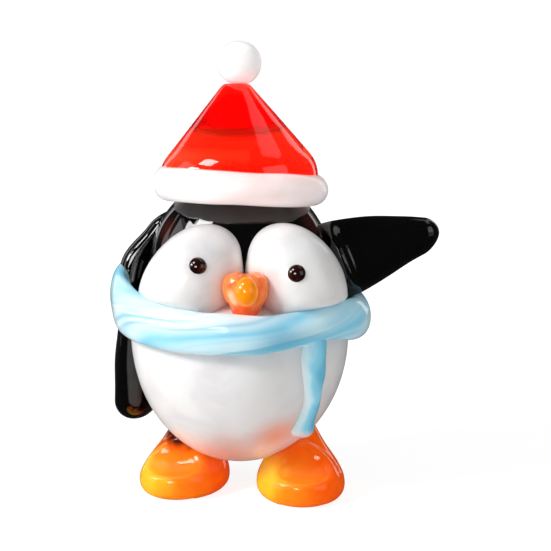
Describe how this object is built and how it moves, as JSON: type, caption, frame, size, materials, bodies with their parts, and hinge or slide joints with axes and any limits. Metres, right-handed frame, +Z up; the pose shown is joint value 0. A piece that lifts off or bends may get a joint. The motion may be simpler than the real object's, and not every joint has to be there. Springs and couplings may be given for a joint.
{
  "type": "penguin figurine",
  "caption": "Small glass penguin ornament with a scarf, a pointed hat and a raised wing; it stands on its feet on a shelf.",
  "frame": {"origin": "on the floor under the feet, at the centre of the whole figurine's bounding box in plan, raised wing included", "axes": "+Z up along the body's height, +Y from the face towards the back, so the face looks along -Y, +X towards the raised wing"},
  "size_m": [0.0366, 0.0276, 0.05],
  "materials": {
    "white_glass": "gloss",
    "black_glass": "gloss",
    "eye_glass": "gloss",
    "orange_glass": "gloss",
    "yellow_glass": "gloss",
    "blue_glass": "gloss",
    "red_glass": "gloss"
  },
  "bodies": {
    "root": {"belly": "white_glass", "back": "black_glass", "face_lobe_left": "white_glass", "face_lobe_right": "white_glass", "eye_left": "eye_glass", "eye_right": "eye_glass", "beak_base": "orange_glass", "beak_tip": "yellow_glass", "scarf_wrap": "blue_glass", "scarf_tail": "blue_glass", "wing_hanging": "black_glass", "wing_raised": "black_glass", "foot_left": "orange_glass", "foot_right": "orange_glass", "hat_brim": "white_glass", "hat_cone": "red_glass", "hat_bobble": "white_glass"}
  },
  "joints": []
}
